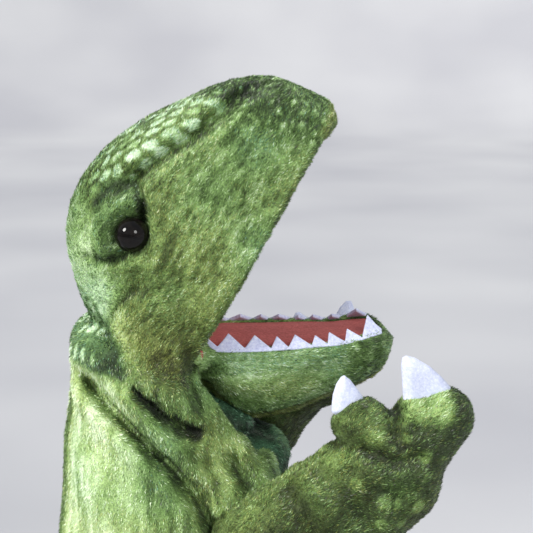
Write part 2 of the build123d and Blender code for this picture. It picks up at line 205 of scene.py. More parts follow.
def torso_field(p):
    """Torso and neck with their folds, and room for the lower jaw."""
    x, z = from_pivot(p)
    d = trunk_field(p)
    shoulders = smooth_min(
        capsule(p, (78, -34, 150), (92, -44, 136), 14, 15),
        capsule(p, (78, 34, 150), (92, 44, 136), 14, 15), 2.0)
    d = smooth_min(d, shoulders, 10.0)
    for lines, side in ((FOLDS_RIGHT, -1), (FOLDS_LEFT, 1)):
        weight = ramp(side * p[:, 1], 2.0, 16.0)
        for points, depth, width in lines:
            d = d + weight * fold(x, z, points, depth, width)
    ring = np.arctan2(p[:, 1], p[:, 0] - 52)
    d = d + 1.1 * np.sin(7 * ring + 0.06 * z) * ramp(z, 140, 60)
    d = d + 0.8 * np.sin(0.11 * z + 3.0 * ring) * ramp(z, 190, 150)
    # Spine: a narrow strip sewn on, standing a little proud.
    strip = np.abs(p[:, 1]) - 3.4
    back = ramp(-x, 20, 34) * ramp(z, -8, -18)
    d = d - back * (1.3 * (1 - ramp(strip, -0.8, 0.8)) - 0.7 * np.exp(-(strip / 1.2) ** 2))
    roll = ball(p, (25.5, 0, 214), (19.0, 38.5, 14.5))
    d = smooth_min(d, roll, 2.6)
    # Room for the lower jaw and the hand.
    jaw_room = np.maximum(np.abs(p[:, 1]) - 32.5, np.maximum(3.0 - x, -41.0 - z))
    jaw_room = np.maximum(jaw_room, z - 12)
    d = smooth_max(d, -jaw_room, 3.0)
    above = np.maximum(4.0 - x, -12.0 - 1.5 * np.clip(x - 4, 0, 24) - z)
    d = smooth_max(d, -above, 5.0)
    q = np.sqrt(((p[:, 0] - 53) / 29.5) ** 2 + (p[:, 1] / 32.0) ** 2)
    cavity = np.maximum((q - 1) * 30, p[:, 2] - 150)
    return smooth_max(d, -cavity, 2.5)


def head_field(p):
    u, v = head_axes(p)
    y = np.abs(p[:, 1])
    xs, (wide, tall) = HEAD
    w, h = np.interp(u, xs, wide), np.interp(u, xs, tall)
    fat = 2.25
    q = ((y / w) ** fat + (np.abs(v) / h) ** fat) ** (1 / fat)
    d = (q - 1) * np.minimum(w, h)
    d = smooth_max(d, -20.0 - u, 10.0)
    d = smooth_max(d, u - 126.5, 6.0)
    # The face panel puffs out past its seam with the forehead and the eye patch.
    seam = (np.interp(u, BROW_U, BROW_V) - v) * 0.86
    side = ramp(y, 5, 12)
    panel = ramp(seam, -0.6, 2.2) * np.exp(-np.clip(seam, 0, 99) / 15.0)
    ahead = ramp(u, 12, 30)
    corner = np.exp(-((u - 45) / 13.0) ** 2)
    d = d - side * ahead * (3.2 + 1.2 * corner) * panel
    d = d + side * ahead * (1.8 + 2.0 * corner) * np.exp(-((seam + 2.4) / 2.6) ** 2)
    d = d - side * 1.6 * ramp(u, 46, 58) * np.exp(-((seam + 9) / 5.0) ** 2)
    # Eye socket, upper lid roll and small lower lid.
    outer = ramp(y, 12, 20)
    eye = np.hypot(u - EYE_U, v - EYE_V)
    d = d + outer * 5.0 * np.exp(-(eye / 9.0) ** 2)
    lid = line_distance(u, v, [(20, 62), (28, 64.5), (37, 63), (45, 56.5)])[0]
    d = d - outer * 3.6 * np.exp(-(lid / 5.0) ** 2)
    crease = line_distance(u, v, [(22, 70), (33, 70.5), (41, 67.8), (49, 63.2)])[0]
    d = d + outer * 1.3 * np.exp(-(crease / 2.2) ** 2)
    lower = line_distance(u, v, [(18, 57.5), (22.5, 53.5), (26.5, 49.5)])[0]
    d = d - outer * 2.4 * np.exp(-(lower / 3.0) ** 2)
    under = line_distance(u, v, [(13, 61), (18, 53), (26, 46.5)])[0]
    d = d + outer * 1.6 * np.exp(-(under / 2.6) ** 2)
    # Slack in the cheek.
    for points, depth, width in (
        ([(8, 6), (20, 16), (30, 30)], 1.3, 4.0), ([(-6, 18), (4, 26), (14, 36)], 1.5, 4.0),
        ([(50, 5), (66, 12), (86, 14)], 0.9, 5.0), ([(104, 6), (112, 12), (114, 22)], 0.9, 3.5),
    ):
        d = d + outer * fold(u, v, points, depth, width)
    # Flat mouth side with a rounded lip, and the recess behind it for the palate.
    d = smooth_max(d, -v - 0.2, 3.2)
    inner = np.maximum(y - (w - 5.0), np.maximum(2.0 - u, u - 114.0))
    recess = smooth_max(inner, v - 9.0, 1.5)
    return smooth_max(d, -recess, 2.0)


def cheek_field(p):
    """Flap over the mouth corner, a tongue of cloth that ends below the jaw."""
    x, z = from_pivot(p)
    flat = np.stack([x, np.zeros(len(x)), z], 1)
    d = smooth_min(capsule(flat, (-20, 0, 13), (-16.5, 0, -6), 18, 10.8),
                   capsule(flat, (-16.5, 0, -6), (-9.5, 0, -17.5), 10.8, 7.0), 3.0)
    d = smooth_min(d, capsule(flat, (-9.5, 0, -17.5), (-0.5, 0, -26.5), 7.0, 3.6), 3.0)
    y = np.abs(p[:, 1])
    slab = np.abs(y - 36.5) - (7.4 - 6.0 * ramp(z, -8, 14) + 2.0 * ramp(-d, 0, 9))
    return smooth_max(d, slab, 4.5)


def body_field(p):
    d = smooth_min(torso_field(p), head_field(p), 2.2)
    return smooth_min(d, cheek_field(p), 2.0)


def jaw_field(p):
    x, z = from_pivot(p)
    y = np.abs(p[:, 1])
    xs, (wide, deep) = JAW
    w, h = np.interp(x, xs, wide), np.interp(x, xs, deep)
    fat = 2.2
    q = ((y / w) ** fat + (np.abs(z) / h) ** fat) ** (1 / fat)
    d = (q - 1) * np.minimum(w, h)
    top = z - 1.2 - 3.6 * ramp(x, 66, 86) + 8.0 * ramp(x, 88, 98)
    d = smooth_max(d, top, 3.4)
    d = smooth_max(d, -2.0 - x, 4.0)
    corner = np.stack([p[:, 0], y, p[:, 2]], 1)
    d = smooth_min(d, ball(corner, (58.0, 28.0, 213.5), (10.5, 4.5, 8.0)), 2.0)
    # Underside strip between two seams, and slack along the side.
    seam = y - 0.55 * w
    d = d + 1.1 * np.exp(-(seam / 1.5) ** 2) * ramp(-z, 0.4 * h, 0.8 * h)
    outer = ramp(y, 8, 14)
    for points, depth, width in (
        ([(4, -14), (16, -22), (34, -24)], 1.3, 3.6), ([(46, -14), (62, -10), (78, -9)], 0.8, 4.0),
        ([(84, -4), (87, -9), (84, -15)], 0.8, 2.6),
    ):
        d = d + outer * fold(x, z, points, depth, width)
    inner = np.maximum(y - (w - 4.2), x - 88.5)
    recess = smooth_max(inner, -2.6 - z + 3.6 * ramp(x, 66, 92), 1.0)
    return smooth_max(d, -recess, 1.6)


def throat_field(p):
    x, z = from_pivot(p)
    d = smooth_min(ball(p, (81, 0, 158), (26, 32, 17)), ball(p, (69, 0, 178), (20, 27, 14)), 5.0)
    d = d + fold(x, z, [(4, -44), (22, -42), (40, -46)], 1.6, 3.0)
    return d + 0.8 * np.sin(0.35 * p[:, 1] + 0.1 * x)


def arm_field(p, side):
    """Broad bent arm with two fingers; the left arm is held higher, close to the jaw."""
    q = p * np.array([1.0, side, 1.0])
    x, z = from_pivot(q)
    if side > 0:
        d = smooth_min(capsule(q, (86, 51, 134), (106, 54, 160), 19.5, 18),
                       capsule(q, (106, 54, 160), (124, 54, 178), 18, 17), 4.0)
        d = smooth_min(d, ball(q, (134, 54, 183.5), (18, 16.5, 17)), 5.0)
        d = smooth_min(d, capsule(q, (127, 54, 186), (127.5, 54, 193.5), 12.2, 11), 3.0)
        d = smooth_min(d, capsule(q, (141, 54, 186), (145.5, 54, 193.5), 13.2, 12.4), 3.0)
    else:
        d = smooth_min(capsule(q, (84, 50, 133), (132, 54, 166), 19.5, 17),
                       capsule(q, (103, 54, 119), (149, 54, 158), 17.5, 17), 5.0)
        d = smooth_min(d, ball(q, (150, 54, 170), (17.5, 16.5, 18)), 6.0)
        d = smooth_min(d, capsule(q, (141, 54, 177), (131.5, 54, 186.5), 13, 12), 4.0)
        d = smooth_min(d, ball(q, (124.5, 54, 187), (6.5, 9, 6)), 3.0)
        d = smooth_min(d, ball(q, (154.5, 54, 190), (9, 10, 9)), 4.0)
        d = smooth_min(d, capsule(q, (159, 54, 178), (168, 54, 188.5), 14.5, 13.2), 4.0)
    for points, depth, width in (
        ([(34, -52), (42, -62), (47, -78), (46, -96)], 3.2, 4.0),
        ([(46, -44), (60, -54), (72, -72), (78, -90)], 2.6, 4.4),
        ([(66, -36), (82, -42), (98, -40)], 2.2, 3.4), ([(84, -22), (83, -31), (88, -38)], 2.6, 2.6),
        ([(60, -42), (68, -52), (86, -58)], 1.6, 4.0),
    ):
        d = d + fold(x, z, points, depth, width) * ramp(np.abs(q[:, 1] - 54), 2, 9)
    return d


def leg_field(p, side):
    q = p * np.array([1.0, side, 1.0])
    d = smooth_min(capsule(q, (45, 41, 86), (50, 46, 56), 28.5, 22.5),
                   capsule(q, (50, 50, 50), (58, 50, 19), 18, 14.5), 6.0)
    foot = capsule(q, (56, 50, 14), (94, 50, 11.5), 16.0, 13.5)
    toes = np.full(len(p), 1e9)
    for spread in (-9.5, 0, 9.5):
        toes = smooth_min(toes, capsule(q, (86, 50 + spread * 0.7, 8.5),
                                        (101 + (4 if spread == 0 else 0), 50 + spread, 7.5), 7.5, 6.6), 1.6)
    d = smooth_min(smooth_min(foot, toes, 3.5), d, 7.0)
    for points, depth, width in (
        ([(22, 62), (40, 52), (60, 56)], 2.0, 4.0), ([(30, 36), (48, 30), (66, 34)], 2.2, 3.4),
        ([(24, 96), (40, 104), (60, 98)], 1.8, 4.0), ([(66, 84), (62, 68), (52, 58)], 1.6, 4.0),
    ):
        d = d + fold(q[:, 0], q[:, 2], points, depth, width) * ramp(q[:, 1], 46, 58)
    return smooth_max(d, 0.4 - q[:, 2], 2.0)


def tail_field(p):
    a, b = TAIL_ROOT, TAIL_TIP
    line = b - a
    t = np.clip((p - a) @ line / (line @ line), 0, 1)
    axis = a + t[:, None] * line
    radius = 28.0 - 19.0 * t
    rel = p - axis
    d = np.linalg.norm(rel, axis=1) - radius
    ring = np.arctan2(rel[:, 1], rel[:, 2])
    d = d + 0.9 * np.sin(26 * t + 2 * np.sin(ring)) * ramp(t, 0.02, 0.2) * (1 - 0.6 * t)
    seam = np.abs(rel[:, 1]) / np.maximum(radius, 1)
    top = ramp(rel[:, 2], 0, 6)
    strip = np.abs(p[:, 1]) - 3.2
    raised = 1.2 * (1 - ramp(strip, -0.8, 0.8)) - 0.6 * np.exp(-(strip / 1.2) ** 2)
    d = d - top * raised * ramp(t, 0.02, 0.1)
    under = ramp(-rel[:, 2], 0.3 * 10, 10) * np.exp(-((seam - 0.45) * radius / 1.6) ** 2)
    return smooth_max(d + 0.9 * under, 0.4 - p[:, 2], 1.5)


# Meshes from distance fields
def in_chunks(field, p, size=300000):
    return np.concatenate([field(p[i:i + size]) for i in range(0, len(p), size)])


def slope(field, p, e=0.15):
    g = np.zeros_like(p)
    for k in range(3):
        step = np.zeros(3)
        step[k] = e
        g[:, k] = (in_chunks(field, p + step) - in_chunks(field, p - step)) / (2 * e)
    return g


def pulled(field, verts, most):
    """Vertices moved to the field's zero level, none further than most."""
    d = in_chunks(field, verts)
    g = slope(field, verts)
    move = -(d / np.maximum((g * g).sum(1), 0.2))[:, None] * g
    size = np.linalg.norm(move, axis=1)
    return verts + move * np.minimum(1, most / np.maximum(size, 1e-9))[:, None]


def net(field, low, high, step):
    """Surface net of the field's zero level: vertices and quads, pulled onto the surface."""
    axes = [np.arange(a, b + step, step) for a, b in zip(low, high)]
    shape = tuple(len(a) for a in axes)
    grid = np.stack(np.meshgrid(*axes, indexing="ij"), -1).reshape(-1, 3)
    values = in_chunks(field, grid).reshape(shape)
    inside = values < 0
    cells = tuple(n - 1 for n in shape)
    total = np.zeros(cells + (3,))
    count = np.zeros(cells)
    corners = [(i, j, k) for i in (0, 1) for j in (0, 1) for k in (0, 1)]

    def part(array, c):
        return array[c[0]:c[0] + cells[0], c[1]:c[1] + cells[1], c[2]:c[2] + cells[2]]

    for c in corners:
        for axis in range(3):
            if c[axis]:
                continue
            e = list(c)
            e[axis] = 1
            cross = part(inside, c) != part(inside, e)
            va, vb = part(values, c), part(values, e)
            t = np.where(cross, va / np.where(cross, va - vb, 1), 0)
            for k in range(3):
                offset = c[k] + (t if k == axis else 0)
                total[..., k] += np.where(cross, offset, 0)
            count += cross
    used = count > 0
    number = np.full(cells, -1)
    number[used] = np.arange(used.sum())
    where = np.argwhere(used)
    verts = (where + total[used] / count[used][:, None]) * step + np.array([a[0] for a in axes])
    quads = []
    for axis in range(3):
        o1, o2 = [k for k in range(3) if k != axis]
        lo = [slice(None)] * 3
        hi = [slice(None)] * 3
        lo[axis], hi[axis] = slice(0, -1), slice(1, None)
        change = inside[tuple(lo)] != inside[tuple(hi)]
        ids = np.argwhere(change)
        keep = (ids[:, o1] > 0) & (ids[:, o2] > 0) & (ids[:, o1] < cells[o1]) & (ids[:, o2] < cells[o2])
        ids = ids[keep]
        ring = []
        for da, db in ((-1, -1), (0, -1), (0, 0), (-1, 0)):
            at = ids.copy()
            at[:, o1] += da
            at[:, o2] += db
            ring.append(number[at[:, 0], at[:, 1], at[:, 2]])
        quad = np.stack(ring, 1)
        start_in = inside[ids[:, 0], ids[:, 1], ids[:, 2]]
        flip = start_in if axis != 1 else ~start_in
        quad[~flip] = quad[~flip][:, ::-1]
        quads.append(quad)
    quads = np.concatenate(quads)
    quads = quads[(quads >= 0).all(1)]
    for _ in range(3):
        verts = relax(pulled(field, verts, step), quads, 0.35)
    return pulled(field, verts, 0.5 * step), quads


def relax(verts, quads, share):
    total = np.zeros_like(verts)
    count = np.zeros(len(verts))
    for a, b in ((0, 1), (1, 2), (2, 3), (3, 0)):
        np.add.at(total, quads[:, a], verts[quads[:, b]])
        np.add.at(total, quads[:, b], verts[quads[:, a]])
        np.add.at(count, quads[:, a], 1)
        np.add.at(count, quads[:, b], 1)
    mean = total / np.maximum(count, 1)[:, None]
    return verts + share * (mean - verts)


def make_mesh(name, verts, faces):
    """A Blender object from millimetre vertices and quads or triangles."""
    mesh = bpy.data.meshes.new(name)
    faces = np.asarray(faces)
    sides = faces.shape[1]
    mesh.vertices.add(len(verts))
    mesh.vertices.foreach_set("co", (np.asarray(verts) * MM).astype(np.float32).ravel())
    mesh.loops.add(faces.size)
    mesh.loops.foreach_set("vertex_index", faces.astype(np.int32).ravel())
    mesh.polygons.add(len(faces))
    mesh.polygons.foreach_set("loop_start", (np.arange(len(faces)) * sides).astype(np.int32))
    mesh.update(calc_edges=True)
    mesh.validate()
    mesh.polygons.foreach_set("use_smooth", np.ones(len(mesh.polygons), bool))
    obj = bpy.data.objects.new(name, mesh)
    bpy.context.scene.collection.objects.link(obj)
    return obj


# Printed plush with painted light and shade: one colour function for the cloth and for each strand of its
# pile
def srgb(*values):
    v = np.array(values, float)
    return np.where(v <= 0.04045, v / 12.92, ((v + 0.055) / 1.055) ** 2.4)


def hashed(i, j, k, seed):
    h = (i.astype(np.int64) * 73856093) ^ (j.astype(np.int64) * 19349663) ^ (k.astype(np.int64) * 83492791)
    h = (h + seed * 7919) & 0xFFFFFFFF
    h = ((h ^ (h >> 15)) * 2246822519) & 0xFFFFFFFF
    h = ((h ^ (h >> 13)) * 3266489917) & 0xFFFFFFFF
    return ((h ^ (h >> 16)) & 0xFFFFFF) / float(0xFFFFFF)


def noise(p, size, seed):
    """Smooth value noise from 0 to 1."""
    q = p / size
    base = np.floor(q).astype(np.int64)
    f = q - base
    f = f * f * (3 - 2 * f)
    out = np.zeros(len(p))
    for a in (0, 1):
        for b in (0, 1):
            for c in (0, 1):
                weight = ((f[:, 0] if a else 1 - f[:, 0]) * (f[:, 1] if b else 1 - f[:, 1])
                          * (f[:, 2] if c else 1 - f[:, 2]))
                out += weight * hashed(base[:, 0] + a, base[:, 1] + b, base[:, 2] + c, seed)
    return out


def scales(q, jitter, seed):
    """Distance to the nearest of a jittered lattice of scale centres, and a value for that scale."""
    base = np.floor(q).astype(np.int64)
    best = np.full(len(q), 9.0)
    value = np.zeros(len(q))
    for a in (-1, 0, 1):
        for b in (-1, 0, 1):
            for c in (-1, 0, 1):
                i, j, k = base[:, 0] + a, base[:, 1] + b, base[:, 2] + c
                shift = 0.5 * (np.abs(j) % 2)
                dx = i + 0.5 + shift + jitter * (hashed(i, j, k, seed) - 0.5) - q[:, 0]
                dy = j + 0.5 + jitter * (hashed(i, j, k, seed + 1) - 0.5) - q[:, 1]
                dz = k + 0.5 + jitter * (hashed(i, j, k, seed + 2) - 0.5) - q[:, 2]
                d = dx * dx + dy * dy + dz * dz
                near = d < best
                best = np.where(near, d, best)
                value = np.where(near, hashed(i, j, k, seed + 3), value)
    return np.sqrt(best), value


# Tone runs from 0, near black green, to 1, near white; hue from -1, blue green, to 1, olive.
def mixed_noise(p, seed):
    return 0.5 * noise(p, 16.0, seed) + 0.3 * noise(p, 6.0, seed + 5) + 0.2 * noise(p, 2.2, seed + 9)


def spots(p, stretch, radius, soft, jitter, seed):
    d, value = scales(p / np.array(stretch, float), jitter, seed)
    size = radius * (0.75 + 0.5 * value)
    return 1 - ramp(d, size - soft, size + soft)


def blend_to(tone, hue, weight, new_tone, new_hue):
    return tone + weight * (new_tone - tone), hue + weight * (new_hue - hue)


EYE_PATCH = [
    (52.5, 60), (50.7, 69), (43, 73), (34, 72), (24, 67), (15, 61), (11, 57), (22, 48), (31, 44.5),
    (40, 47.5), (46, 52),
]
NECK_ROLL = [(-64, -3), (-49, -5), (-31, -8), (-32, 4), (-37, 14), (-42, 22), (-52, 30), (-64, 30)]


def body_coat(p):
    x, z = from_pivot(p)
    u, v = head_axes(p)
    y = np.abs(p[:, 1])
    cloud = mixed_noise(p, 11)
    tone = 0.49 + 0.26 * (cloud - 0.5)
    hue = 0.12 + 0.9 * (noise(p, 22.0, 31) - 0.5)
    head = ramp(u, -22, -8) * ramp(v, -4, 4)
    # Torso: mid green with long pale streaks, and paler to the back as painted highlight where the light
    # falls.
    streak = noise(p * np.array([1.0, 1.0, 0.14]), 3.2, 41)
    # Painted highlight: back pales the torso towards its back.
    back = ramp(-x, 6, 44)
    body = (1 - head) * (-0.05 + 0.36 * (streak - 0.45) + 0.34 * back * back)
    tone = tone + body
    low_spots = spots(p, (11, 11, 11), 0.34, 0.09, 0.5, 71)
    tone = tone + (1 - head) * 0.10 * low_spots * ramp(-z, 90, 130)
    # Face side: olive towards the cheek, with fine pale dashes along the snout.
    cheek = head * np.exp(-((u + 2) / 22.0) ** 2) * (1 - ramp(v, 34, 48))
    tone, hue = tone - 0.12 * cheek, hue + 0.5 * cheek
    dashes = noise(np.stack([u / 5.2, v / 1.9, p[:, 1] / 2.2], 1), 1.0, 87)
    tone = tone + head * 0.30 * (dashes - 0.47) * ramp(u, 6, 26)
    # Forehead: rows of long pale scales on mid green.
    above = ramp(v - np.interp(u, BROW_U, BROW_V), 1.0, 4.0)
    top = head * np.maximum(above, ramp(-(y - 13), -3, 2) * ramp(v, 22, 30)) * ramp(u, 26, 42)
    rows = np.stack([u, p[:, 1] * 1.2 + 2.4, np.full(len(u), 3.1)], 1)
    d, value = scales(rows / np.array([8.6, 5.0, 6.2]), 0.16, 5)
    ovals = (1 - ramp(d, 0.30, 0.45)) * (0.45 + 0.55 * ramp(value, 0.2, 0.6))
    tone, hue = blend_to(tone, hue, top * 0.8, 0.55 + 0.2 * (cloud - 0.5), 0.15)
    tone = tone + top * ovals * 0.46 * (1 - ramp(u, 100, 116))
    hue = hue - 0.5 * top * ovals
    # Painted highlight: the back of the head paler and bluer, on the side the light comes from.
    head_back_highlight = head * ramp(v - u, 26, 48) * (1 - top)
    tone, hue = tone + 0.34 * head_back_highlight, hue - 0.3 * head_back_highlight
    # Eye patch: dark green.
    patch = head * ramp(y, 10, 17) * ramp(-polygon_distance(u, v, EYE_PATCH), -1.5, 2.5)
    tone, hue = blend_to(tone, hue, patch * 0.9, 0.38 + 0.55 * (cloud - 0.5), -0.1)
    # Snout: darker green with small pale dots.
    snout = head * ramp(u + 0.1 * v, 97, 112)
    dots = spots(p, (4.6, 4.6, 4.6), 0.30, 0.09, 0.6, 23)
    tone, hue = blend_to(tone, hue, snout * 0.9, 0.24 + 0.2 * (cloud - 0.5), -0.1)
    tone = tone + snout * 0.36 * dots
    # Roll at the back of the neck: dark green with white ovals.
    roll = ramp(-polygon_distance(x, z, NECK_ROLL), -2, 2)
    ovals = spots(p, (8.0, 7.0, 10.5), 0.36, 0.07, 0.5, 57)
    tone, hue = blend_to(tone, hue, roll * 0.9, 0.48 + 0.2 * (cloud - 0.5), -0.35)
    tone = tone + roll * 0.42 * ovals
    # Spine strip.
    strip = (1 - ramp(y, 2.6, 4.0)) * ramp(-x, 24, 34) * ramp(-z, 8, 18)
    tone, hue = blend_to(tone, hue, strip * 0.85, 0.30, 0.1)
    # Painted shadow: darker and more olive on the lower cheek flap and in the groove under it.
    flap_shadow = ramp(-line_distance(x, z, [(-16, -4), (-8, -18), (2, -27)])[0], -11, -6) * ramp(y, 30, 34)
    tone, hue = tone - 0.10 * flap_shadow, hue + 0.2 * flap_shadow
    # Lip edge.
    lip = head * (1 - ramp(v, 0.5, 4.0)) * ramp(u, 2, 14)
    tone = tone - 0.06 * lip
    olive_lip = ramp(u, 106, 116) * (1 - ramp(v, 1.0, 5.0))
    return blend_to(tone, hue, olive_lip * 0.8, 0.55, 1.0)


def jaw_coat(p):
    x, z = from_pivot(p)
    y = np.abs(p[:, 1])
    cloud = mixed_noise(p, 17)
    tone = 0.57 + 0.34 * (cloud - 0.5)
    hue = -0.05 + 0.9 * (noise(p, 14.0, 37) - 0.5)
    dots = spots(p, (5.4, 5.4, 5.4), 0.32, 0.1, 0.6, 91)
    tone = tone + 0.10 * dots
    tip = ramp(x, 62, 84)
    tone, hue = blend_to(tone, hue, tip * 0.85, 0.25 + 0.2 * (cloud - 0.5), -0.1)
    tone = tone + tip * 0.20 * dots
    xs, (wide, deep) = JAW
    w, h = np.interp(x, xs, wide), np.interp(x, xs, deep)
    under = (1 - ramp(y / w, 0.5, 0.6)) * ramp(-z, 0.4 * h, 0.7 * h)
    return blend_to(tone, hue, under * 0.9, 0.46 + 0.2 * (cloud - 0.5), 1.0)


def throat_coat(p):
    cloud = mixed_noise(p, 19)
    tone = 0.40 + 0.22 * (cloud - 0.5)
    edge = ramp(p[:, 0] + 0.5 * (p[:, 2] - 160), 102, 108)
    return tone + 0.22 * edge, np.full(len(p), -1.0) + 0.4 * edge


def arm_coat(p):
    x, z = p[:, 0], p[:, 2]
    cloud = mixed_noise(p, 29)
    tone = 0.20 + 0.26 * (cloud - 0.5)
    hue = 0.45 + 0.8 * (noise(p, 18.0, 43) - 0.5)
    d, value = scales(p / np.array([9.4, 9.4, 9.4]), 0.5, 61)
    rings = 1 - ramp(d, 0.28, 0.42)
    tone = tone + 0.20 * rings * (0.5 + 0.9 * value) * ramp(x + z, 256, 290)
    # Painted highlight: the top of the arm lighter, where the light falls.
    upper = ramp(z - 0.62 * (x - 90), 142, 160)
    tone, hue = blend_to(tone, hue, upper * 0.55, 0.52 + 0.3 * (cloud - 0.5), 0.3)
    hand = ramp(x * 0.6 + z, 262, 290)
    tone, hue = blend_to(tone, hue, hand * 0.7, 0.14 + 0.3 * (cloud - 0.5), 0.1)
    tips = ramp(z, 186, 193) * ramp(x, 146, 151) * (1 - ramp(x, 166, 172))
    return blend_to(tone, hue, tips * 0.8, 0.70, 0.2)


def leg_coat(p):
    cloud = mixed_noise(p, 33)
    tone = 0.52 + 0.30 * (cloud - 0.5)
    hue = 0.25 + 0.8 * (noise(p, 20.0, 47) - 0.5)
    d, value = scales(p / np.array([9.8, 9.8, 9.8]), 0.5, 67)
    rings = 1 - ramp(d, 0.28, 0.42)
    tone = tone - 0.08 + 0.18 * rings * (0.6 + 0.8 * value)
    foot = 1 - ramp(p[:, 2], 22, 40)
    return blend_to(tone, hue, foot * 0.5, 0.32 + 0.3 * (cloud - 0.5), 0.7)


def tail_coat(p):
    cloud = mixed_noise(p, 39)
    tone = 0.54 + 0.30 * (cloud - 0.5)
    hue = 0.15 + 0.8 * (noise(p, 20.0, 51) - 0.5)
    axis_z = np.interp(p[:, 0], (TAIL_TIP[0], TAIL_ROOT[0]), (TAIL_TIP[2], TAIL_ROOT[2]))
    high = ramp(p[:, 2] - axis_z, 0, 12)
    ovals = spots(p, (9.0, 7.0, 7.0), 0.34, 0.08, 0.35, 73)
    tone = tone + high * 0.26 * ovals - 0.05 * high
    strip = (1 - ramp(np.abs(p[:, 1]), 2.4, 4.0)) * ramp(p[:, 2] - axis_z, 2, 6)
    tone, hue = blend_to(tone, hue, strip * 0.8, 0.24, 0.1)
    return blend_to(tone, hue, ramp(axis_z - p[:, 2], 2, 10) * 0.7, 0.46 + 0.2 * (cloud - 0.5), 0.9)


# Strength of the painted shade in creases and recesses.
PAINTED_CREASE_SHADE = 0.55
TONES = np.array([0.0, 0.18, 0.34, 0.50, 0.66, 0.82, 1.0])
GREEN, OLIVE, BLUISH = (np.array([srgb(*stop) for stop in stops]) for stops in (
    [(0.05, 0.09, 0.03), (0.17, 0.24, 0.10), (0.31, 0.42, 0.20), (0.46, 0.59, 0.33), (0.61, 0.73, 0.47),
     (0.77, 0.87, 0.67), (0.95, 0.99, 0.91)],
    [(0.07, 0.07, 0.02), (0.20, 0.21, 0.08), (0.35, 0.38, 0.17), (0.51, 0.56, 0.28), (0.67, 0.72, 0.42),
     (0.84, 0.88, 0.62), (0.96, 0.98, 0.86)],
    [(0.04, 0.09, 0.06), (0.13, 0.22, 0.15), (0.24, 0.39, 0.28), (0.38, 0.56, 0.43), (0.55, 0.73, 0.60),
     (0.75, 0.88, 0.79), (0.94, 0.99, 0.95)],
))


def coat_colour(tone, hue):
    tone = np.clip(tone, 0, 1)
    hue = np.clip(hue, -1, 1)
    out = np.zeros((len(tone), 3))
    for k in range(3):
        g = np.interp(tone, TONES, GREEN[:, k])
        o = np.interp(tone, TONES, OLIVE[:, k])
        b = np.interp(tone, TONES, BLUISH[:, k])
        out[:, k] = np.where(hue > 0, g + (o - g) * hue, g + (b - g) * -hue)
    return out


# Materials
def new_material(name, colour, roughness, specular=0.5, sheen=0.0, sheen_tint=(1, 1, 1)):
    material = bpy.data.materials.new(name)
    material.use_nodes = True
    shader = material.node_tree.nodes["Principled BSDF"]
    shader.inputs["Base Color"].default_value = (*[float(c) for c in colour], 1)
    shader.inputs["Roughness"].default_value = roughness
    shader.inputs["Specular IOR Level"].default_value = specular
    shader.inputs["Sheen Weight"].default_value = sheen
    shader.inputs["Sheen Roughness"].default_value = 0.35
    shader.inputs["Sheen Tint"].default_value = (*sheen_tint, 1)
    return material, material.node_tree, shader


def node(tree, kind, values=(), **settings):
    made = tree.nodes.new(kind)
    for key, value in settings.items():
        setattr(made, key, value)
    for key, value in dict(values).items():
        made.inputs[key].default_value = value
    return made


def colour_ramp(tree, stops):
    made = tree.nodes.new("ShaderNodeValToRGB")
    while len(made.color_ramp.elements) < len(stops):
        made.color_ramp.elements.new(0.5)
    for element, (at, colour) in zip(made.color_ramp.elements, stops):
        element.position = at
        element.color = (*colour, 1)
    return made


def cloth_material(name, bump=0.5):
    """Short pile seen from above: the printed colour with its painted light and shade, broken up by fine
    strands.
    """
    material, tree, shader = new_material(name, (0.2, 0.3, 0.1), 0.62, 0.35, 0.22, (0.85, 1.0, 0.75))
    link = tree.links.new
    coat_with_painted_light = node(tree, "ShaderNodeAttribute", attribute_name="coat")
    place = node(tree, "ShaderNodeAttribute", attribute_name="rest_place")
    fine = node(tree, "ShaderNodeTexNoise", {"Scale": 1500.0, "Detail": 3.0, "Roughness": 0.65})
    clump = node(tree, "ShaderNodeTexVoronoi", {"Scale": 620.0, "Randomness": 1.0})
    for texture in (fine, clump):
        link(place.outputs["Vector"], texture.inputs["Vector"])
    shade = colour_ramp(tree, [(0.30, (0.42, 0.42, 0.40)), (0.52, (0.95, 0.95, 0.93)),
                               (0.72, (1.55, 1.6, 1.45))])
    link(fine.outputs["Fac"], shade.inputs["Fac"])
    mix = node(tree, "ShaderNodeMix", data_type="RGBA", blend_type="MULTIPLY")
    mix.inputs[0].default_value = 0.8
    link(coat_with_painted_light.outputs["Color"], mix.inputs[6])
    link(shade.outputs["Color"], mix.inputs[7])
    link(mix.outputs[2], shader.inputs["Base Color"])
    height = node(tree, "ShaderNodeMath", operation="SUBTRACT")
    link(fine.outputs["Fac"], height.inputs[0])
    link(clump.outputs["Distance"], height.inputs[1])
    relief = node(tree, "ShaderNodeBump", {"Strength": bump, "Distance": 0.0012})
    link(height.outputs[0], relief.inputs["Height"])
    link(relief.outputs["Normal"], shader.inputs["Normal"])
    return material


